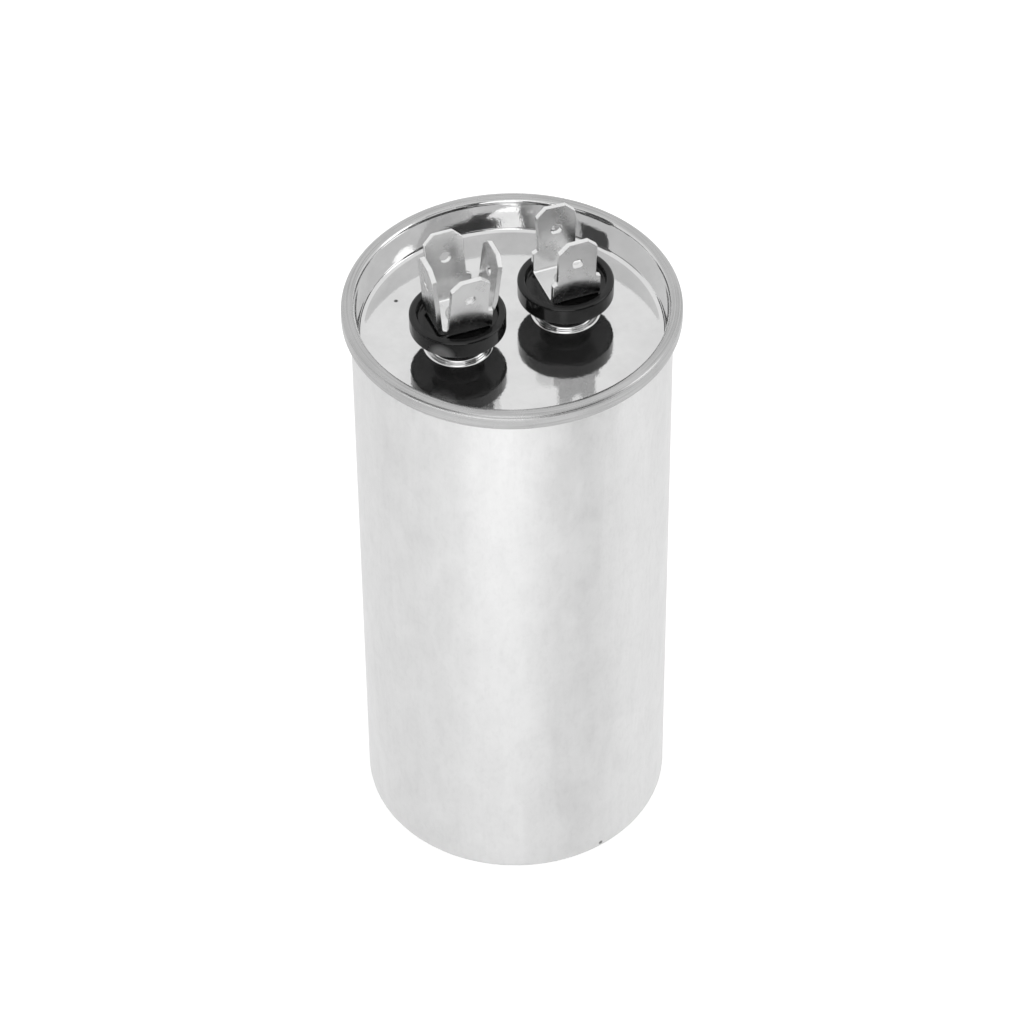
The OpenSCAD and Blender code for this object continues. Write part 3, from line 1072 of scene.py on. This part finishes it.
@dataclass
class Stamping:
    """A tin-plated stamping: a base plate with blades folded up round it."""

    name: str
    node: str
    side: Side
    blades: list[Blade]
    core: Point
    turn: float = -3.0
    sheet: float = PLATE_SHEET
    width: float = 6.3
    length: float = 11.6
    spread: float = 8.8
    bend_r: float = 0.4
    bend_steps: int = 10
    shoulder_z: float = 3.5
    shoulder_slope: float = 0.5
    tip: float = 1.5
    turn_steps: int = 5
    hole_r: float = 0.9
    hole_sides: int = 48
    hole_from_tip: float = 4.3
    rivet_r: float = 1.55
    rivet_sides: int = 72
    edge: float = 0.1
    edge_steps: int = 3
    edge_angle: float = 34.0

    @property
    def middle_z(self) -> float:
        """Height of the middle of the base plate's sheet, in mm."""
        return PLATE_Z + self.sheet / 2

    def bend_centre(self, blade: Blade) -> Vector:
        """Give the middle of a blade's bend.

        Args:
            blade: The blade.

        Returns:
            The place in mm, with the rivet's axis at zero.
        """
        a = math.radians(90 - blade.flare)
        out = self.bend_r + self.sheet
        rise = (out * math.cos(a) - self.bend_r) / math.sin(a)
        start = self.spread / 2 - out * math.sin(a) - rise * math.cos(a)
        return blade.outward * start + UP * (PLATE_Z + out)

    def flat_foot(self, blade: Blade) -> Vector:
        """Give the middle of the sheet where a blade's bend ends, in mm."""
        return self.bend_centre(blade) + blade.face() * (self.bend_r + self.sheet / 2)

    def flat(self, blade: Blade) -> float:
        """Give the length of a blade's flat part.

        Args:
            blade: The blade.

        Returns:
            The length in mm.
        """
        a = math.radians(90 - blade.flare)
        bend = ((self.bend_r + self.sheet) * math.cos(a) - self.bend_r) / math.sin(a)
        return self.length + bend - blade.cut

    def stages(self, blade: Blade) -> list[Point]:
        """Give the stages in which a blade is drawn up from its bend.

        Args:
            blade: The blade.

        Returns:
            The height and the width at the end of each stage, in mm.
        """
        flat, wider = self.flat(blade), blade.foot > self.width
        body = flat - self.tip - self.shoulder_z
        steps = self.turn_steps if blade.twist else 1
        first = 0 if blade.twist or blade.kink or wider else 1
        stages = [(self.shoulder_z + body * i / steps, self.width)
                  for i in range(first, steps + 1)] + [(flat, self.width - 2 * self.tip)]
        if wider:
            shoulder = (blade.foot - self.width) / 2 * self.shoulder_slope
            stages.insert(0, (self.shoulder_z - shoulder, blade.foot))
        return stages

    def select_end(self, piece: Piece, outward: Vector, reach: float) -> None:
        """Select the block's end face in one direction, in edit mode.

        Args:
            piece: The stamping so far.
            outward: The direction that the face looks in.
            reach: Its distance from the rivet, in mm.
        """
        bpy.ops.mesh.select_mode(type="FACE")
        bpy.ops.mesh.select_all(action="DESELECT")
        Bench.mode("OBJECT")
        middle = (outward * reach + UP * self.middle_z) * MM
        for polygon in piece.data.polygons:
            polygon.select = (polygon.center - middle).length < NEAR
        Bench.mode("EDIT")

    def widened(self, blade: Blade, factor: float, stays: Vector, turned: float = 0.0) -> None:
        """Scale the selected face across a blade.

        Args:
            blade: The blade.
            factor: New width over the present one.
            stays: The point that keeps its place, in mm.
            turned: How far it is turned here, in degrees clockwise from above.
        """
        value = (1, factor, 1) if blade.along_x else (factor, 1, 1)
        own = Matrix.Rotation(-math.radians(turned), 3, "Z")
        bpy.ops.transform.resize(value=value, orient_type="GLOBAL", orient_matrix=own,
                                 orient_matrix_type="GLOBAL", center_override=stays * MM)

    def fold(self, piece: Piece, blade: Blade) -> None:
        """Fold one blade up from the plate's edge.

        Args:
            piece: The stamping so far, in edit mode.
            blade: The blade.
        """
        reach, breadth = self.core if blade.along_x else self.core[::-1]
        pin = Vector((0, 1, 0) if blade.along_x else (1, 0, 0)) * blade.pinned
        centre = self.bend_centre(blade)
        self.select_end(piece, blade.outward, reach / 2)
        Bench.extruded(blade.outward * (centre.dot(blade.outward) - reach / 2) * MM)
        if blade.foot != breadth:
            self.widened(blade, blade.foot / breadth, pin)
        bpy.ops.mesh.spin(steps=self.bend_steps, angle=-math.radians(90 - blade.flare),
                          center=centre * MM, axis=blade.outward.cross(UP))
        self.draw_up(blade, pin)

    def draw_up(self, blade: Blade, pin: Vector) -> None:
        """Extrude a folded blade from its bend to its tip.

        Args:
            blade: The blade, with the end of its bend selected.
            pin: What keeps its place when the foot narrows, in mm.
        """
        reached, wide, turned = 0.0, blade.foot, 0.0
        place = self.flat_foot(blade)
        for level, width in self.stages(blade):
            step = blade.up(reached >= self.shoulder_z) * (level - reached)
            place += step
            Bench.extruded(step * MM)
            if width != wide:
                stays = pin if level <= self.shoulder_z else place
                self.widened(blade, width / wide, stays, turned)
            share = max(level - self.shoulder_z, 0.0) / (self.flat(blade) - self.shoulder_z)
            turn = blade.twist * share
            if turn != turned:
                bpy.ops.transform.rotate(value=math.radians(turn - turned), orient_axis="Z",
                                         center_override=place * MM)
            reached, wide, turned = level, width, turn

    def drill(self, piece: Piece, blade: Blade) -> None:
        """Cut the hole near a blade's tip.

        Args:
            piece: The folded stamping.
            blade: The blade.
        """
        above = self.flat(blade) - self.hole_from_tip - self.shoulder_z
        centre = self.flat_foot(blade) + blade.up() * self.shoulder_z + blade.up(True) * above
        Bench.drilled(piece, centre, blade.face(True), self.hole_r, self.hole_sides)

    def build(self) -> None:
        """Build and dress the stamping."""
        Bench.only()
        bpy.ops.mesh.primitive_cube_add(size=1.0, location=(0, 0, self.middle_z * MM))
        piece = Bench.named(self.name)
        piece.scale = (self.core[0] * MM, self.core[1] * MM, self.sheet * MM)
        bpy.ops.object.transform_apply()
        Bench.mode("EDIT")
        for blade in self.blades:
            self.fold(piece, blade)
        Bench.welded()
        for blade in self.blades:
            self.drill(piece, blade)
        Bench.drilled(piece, UP * (PLATE_Z + self.sheet), UP, self.rivet_r, self.rivet_sides)
        Bench.modified(piece, "BEVEL", width=self.edge * MM, segments=self.edge_steps,
                       limit_method="ANGLE", angle_limit=math.radians(self.edge_angle))
        Bench.smooth(piece)
        bpy.ops.transform.translate(value=(self.side.value * PITCH / 2 * MM, 0, 0))
        piece.rotation_euler.z = math.radians(self.turn)
        bpy.ops.object.transform_apply()
        Bench.modified(piece, "WEIGHTED_NORMAL", mode="FACE_AREA", weight=100, keep_sharp=True)
        dress(piece, Finish.BLADE, "tab_tinned_brass", self.node)


@dataclass
class Solids:
    """The CAD model's nodes. Sealed ones keep their shapes, and new pieces stand for the rest."""

    finishes: dict[Finish, tuple[str, ...]] = field(default_factory=lambda: {
        Finish.SEAL: ("seam_seal",),
        Finish.IVORY: ("left_inner_insulator", "right_inner_insulator", "upper_spacer",
                       "core_tube", "winding_seat"),
        Finish.LUG: ("left_lug", "right_lug"),
        Finish.WIRE: ("left_wire", "right_wire"),
        Finish.SPRAY: ("upper_end_spray", "lower_end_spray"),
        Finish.FILM: ("film_winding",),
        Finish.SLEEVE: ("insulating_sleeve",),
        Finish.ALUMINIUM: ("can",),
        Finish.TINPLATE: ("lid",),
        Finish.BLACK: ("left_terminal_cup", "right_terminal_cup"),
        Finish.BLADE: ("left_quad_tab", "right_twin_tab"),
        Finish.RIVET: ("left_rivet", "right_rivet"),
    })

    def dress(self) -> None:
        """Give every CAD node its finish."""
        for finish, nodes in self.finishes.items():
            for node in nodes:
                finish.coat(bpy.data.objects[node])
                LOG.info("%s: %s", node, finish.name.lower())


@dataclass(frozen=True)
class Lamp:
    """A soft lamp that looks at the lid and that the camera doesn't see.

    Attributes:
        name: Its name.
        azimuth: Degrees to the right of the camera's side.
        elevation: Degrees above the floor.
        distance: Distance in metres.
        size: Width in metres.
        power: Power in watts.
        tall: Height in metres, for a lamp that isn't round.
    """

    name: str
    azimuth: float
    elevation: float
    distance: float
    size: float
    power: float
    tall: float | None = None


@dataclass
class Studio:
    """The pale floor, the white surroundings, the soft lamps and the camera."""

    lens: float = 149.683
    sensor: float = 36.0
    clip: Point = (0.01, 20.0)
    azimuth: float = -24.2
    elevation: float = 44.01
    roll: float = 0.009573
    target: Triple = (-0.266, 0.119, 58.906)
    distance: float = 687.507
    floor_size: float = 6.0
    floor_tone: float = 0.86
    floor_glow: float = 0.45
    mirrored_glow: float = 0.2
    sky: float = 0.8
    dim_from: float = -72.0
    dim_to: float = 62.0
    dim_top: float = 37.0
    dim_distance: float = 1.1
    dim_tone: float = 0.08
    dim_steps: int = 32
    aim_z: float = 70.0
    lamps: tuple[Lamp, ...] = (
        Lamp("key", -5, 18, 0.36, 0.34, 0.44),
        Lamp("fill", -44, 0, 0.6, 0.6, 0.34, 0.05),
        Lamp("side", 84, 18, 0.6, 0.3, 0.25))

    def away(self, azimuth: float, elevation: float) -> Vector:
        """Give a direction away from the part.

        Args:
            azimuth: Degrees to the right of the camera's side.
            elevation: Degrees above the floor.

        Returns:
            The unit vector.
        """
        a, e = math.radians(self.azimuth + azimuth), math.radians(elevation)
        return Vector((math.sin(a) * math.cos(e), -math.cos(a) * math.cos(e), math.sin(e)))

    def camera(self) -> None:
        """Place the camera and make it the scene's own."""
        data = bpy.data.cameras.new("camera")
        data.lens, data.sensor_width = self.lens, self.sensor
        data.clip_start, data.clip_end = self.clip
        eye = bpy.data.objects.new("camera", data)
        bpy.context.collection.objects.link(eye)
        back = self.away(0.0, self.elevation)
        eye.location = (Vector(self.target) + back * self.distance) * MM
        turn = back.to_track_quat("Z", "Y").to_matrix().to_4x4()
        eye.rotation_euler = (turn @ Matrix.Rotation(-self.roll, 4, "Z")).to_euler()
        bpy.context.scene.camera = eye

    def seen(self, graph: Graph) -> Socket:
        """Give the value that is one for camera, glossy and transmission rays.

        Args:
            graph: The nodes of a material or the world.

        Returns:
            The value.
        """
        path = graph.add("LightPath")
        first = graph.maths("MAXIMUM", path.outputs["Is Camera Ray"], path.outputs["Is Glossy Ray"])
        return graph.maths("MAXIMUM", first, path.outputs["Is Transmission Ray"])

    def world(self) -> None:
        """Light the scene evenly, with white behind everything that shows it."""
        world = bpy.data.worlds.new("white_room")
        bpy.context.scene.world = world
        graph = Graph(world)
        room, white = [graph.add("Background", {"Color": (*WHITE, 1.0), "Strength": strength})
                       for strength in (self.sky, 1.0)]
        mix = graph.add("MixShader", {0: self.seen(graph), 1: room.outputs[0],
                                      2: white.outputs[0]})
        graph.add("OutputWorld", {"Surface": mix.outputs[0]})

    def floor(self) -> None:
        """Lay the pale floor, which keeps a faint shadow of the can."""
        Bench.only()
        bpy.ops.mesh.primitive_plane_add(size=self.floor_size, location=(0, 0, 0))
        floor = Bench.named("floor")
        graph = Graph(bpy.data.materials.new("pale_floor"))
        direct = graph.maths("MULTIPLY", graph.add("LightPath").outputs["Is Camera Ray"],
                             self.floor_glow - self.mirrored_glow)
        strength = graph.maths("MULTIPLY_ADD", self.seen(graph), self.mirrored_glow, direct)
        paint = graph.add("BsdfDiffuse", {"Color": (*grey(self.floor_tone), 1.0)})
        glow = graph.add("Emission", {"Strength": strength})
        both = graph.add("AddShader", {0: paint.outputs[0], 1: glow.outputs[0]})
        graph.add("OutputMaterial", {"Surface": both.outputs[0]})
        floor.data.materials.append(graph.owner)

    def dim_side(self) -> None:
        """Stand a dim curved screen behind the camera, which only reflections show."""
        screen = Bench.started("dim_side", self.away(self.dim_from, 0.0) * self.dim_distance)
        rise = self.dim_distance * math.tan(math.radians(self.dim_top))
        Bench.extruded((0.0, 0.0, rise))
        Bench.spun(self.dim_steps, -math.radians(self.dim_to - self.dim_from))
        Bench.mode("OBJECT")
        bpy.ops.object.transform_apply()
        graph = Graph(bpy.data.materials.new("dim_screen"))
        screen.data.materials.append(
            graph.surface(Base_Color=(*grey(self.dim_tone), 1.0), Roughness=1.0))
        screen.visible_camera = False
        screen.visible_diffuse = False
        LOG.info("%s: %s", screen.name, [round(v, 3) for v in screen.dimensions])

    def hang(self, lamp: Lamp) -> None:
        """Hang a lamp.

        Args:
            lamp: The lamp.
        """
        data = bpy.data.lights.new(lamp.name, "AREA")
        data.shape = "RECTANGLE" if lamp.tall else "DISK"
        data.size, data.size_y = lamp.size, lamp.tall or lamp.size
        data.energy = lamp.power
        hung = bpy.data.objects.new(lamp.name, data)
        hung.visible_camera = False
        bpy.context.collection.objects.link(hung)
        away = self.away(lamp.azimuth, lamp.elevation)
        hung.location = UP * self.aim_z * MM + away * lamp.distance
        hung.rotation_euler = away.to_track_quat("Z", "Y").to_euler()

    def build(self) -> None:
        """Set up the whole studio."""
        self.camera()
        self.world()
        self.floor()
        self.dim_side()
        for lamp in self.lamps:
            self.hang(lamp)
        bpy.context.scene.view_settings.view_transform = "Standard"


def main() -> None:
    """Build and dress the whole capacitor."""
    logging.basicConfig(level=logging.INFO, format="%(name)s: %(message)s")
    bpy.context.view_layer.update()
    Studio().build()
    Solids().dress()
    Can().build()
    Lid().build()
    TerminalCup().build()
    Rivet().build()
    Stamping("left_quad_stamping", "left_quad_tab", Side.LEFT, [
        Blade(90, 10.5, 7.9), Blade(180, 4.5, 6.3), Blade(270, 10.5, 7.1, pinned=-3.15),
        Blade(0, 18.0, 6.3, kink=-11.0, cut=0.15)], core=(6.3, 6.3)).build()
    Stamping("right_twin_stamping", "right_twin_tab", Side.RIGHT, [
        Blade(90, 1.5, 7.9, twist=4.0), Blade(270, 4.5, 7.9)], core=(7.9, 6.3)).build()


if __name__ == "__main__":
    main()
